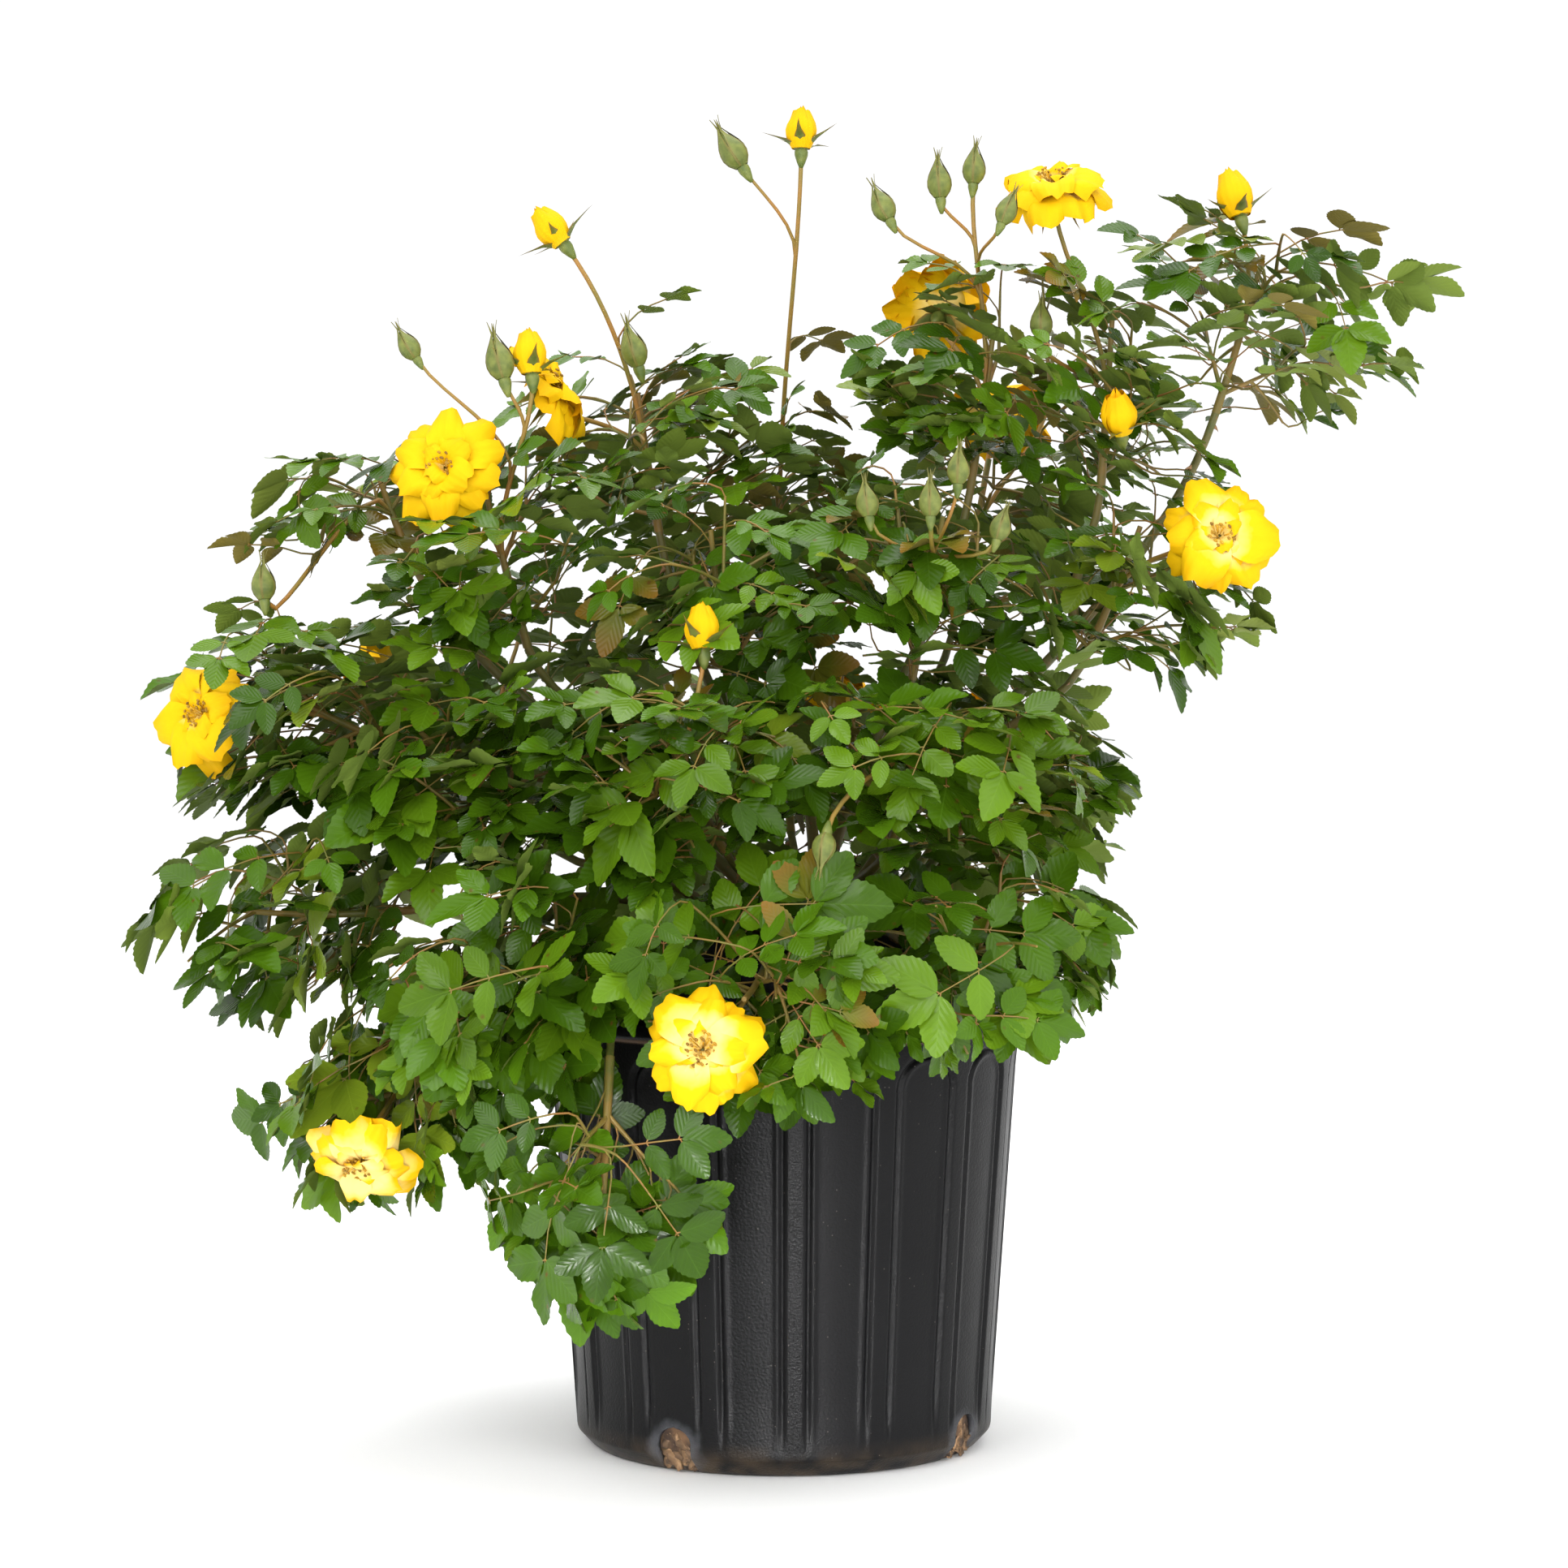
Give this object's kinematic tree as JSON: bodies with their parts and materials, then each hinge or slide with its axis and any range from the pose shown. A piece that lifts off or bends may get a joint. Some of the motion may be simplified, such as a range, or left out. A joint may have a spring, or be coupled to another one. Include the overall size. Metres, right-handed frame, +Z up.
{
  "type": "potted rose bush",
  "caption": "Potted garden rose bush: arching canes with masses of small toothed leaves, open yellow blooms and green buds, in a ribbed black nursery pot of potting mix.",
  "frame": {"origin": "centre of the pot's flat underside", "axes": "+Z up along the pot's axis, -Y towards the side that the trailing shoot hangs down, +X towards the side with the tallest leaning shoot"},
  "size_m": [0.5995, 0.4216, 0.6209],
  "materials": {
    "pot_plastic": "black pebbled high-density polyethylene, satin",
    "potting_mix": "coarse brown bark mix, matt",
    "cane_bark": "green to grey-brown bark with prickles, satin",
    "foliage": "mid to dark green toothed leaves, soft sheen"
  },
  "bodies": {
    "root": {"bough_back": "cane_bark", "bough_back_left": "cane_bark", "bough_back_low": "cane_bark", "bough_back_right": "cane_bark", "bough_back_right_top": "cane_bark", "bough_centre": "cane_bark", "bough_centre_right": "cane_bark", "bough_centre_top": "cane_bark", "bough_front_centre": "cane_bark", "bough_front_left_low": "cane_bark", "bough_front_low": "cane_bark", "bough_front_right": "cane_bark", "bough_front_right_low": "cane_bark", "bough_left_centre": "cane_bark", "bough_left_flank": "cane_bark", "bough_left_hang": "cane_bark", "bough_left_high": "cane_bark", "bough_left_low": "cane_bark", "bough_left_shoulder": "cane_bark", "bough_left_top": "cane_bark", "bough_right_flank": "cane_bark", "bough_right_low": "cane_bark", "bough_right_shoulder": "cane_bark", "bough_right_side": "cane_bark", "bough_right_top": "cane_bark", "bough_top_right": "cane_bark", "bough_trailing": "cane_bark", "foliage_back": "foliage", "foliage_back_left": "foliage", "foliage_back_low": "foliage", "foliage_back_right": "foliage", "foliage_back_right_top": "foliage", "foliage_centre": "foliage", "foliage_centre_right": "foliage", "foliage_centre_top": "foliage", "foliage_front_centre": "foliage", "foliage_front_left_low": "foliage", "foliage_front_low": "foliage", "foliage_front_right": "foliage", "foliage_front_right_low": "foliage", "foliage_left_centre": "foliage", "foliage_left_flank": "foliage", "foliage_left_hang": "foliage", "foliage_left_high": "foliage", "foliage_left_low": "foliage", "foliage_left_shoulder": "foliage", "foliage_left_top": "foliage", "foliage_right_flank": "foliage", "foliage_right_low": "foliage", "foliage_right_shoulder": "foliage", "foliage_right_side": "foliage", "foliage_right_top": "foliage", "foliage_top_right": "foliage", "foliage_trailing": "foliage", "pot": "pot_plastic", "potting_mix": "potting_mix", "trunk": "cane_bark"}
  },
  "joints": []
}
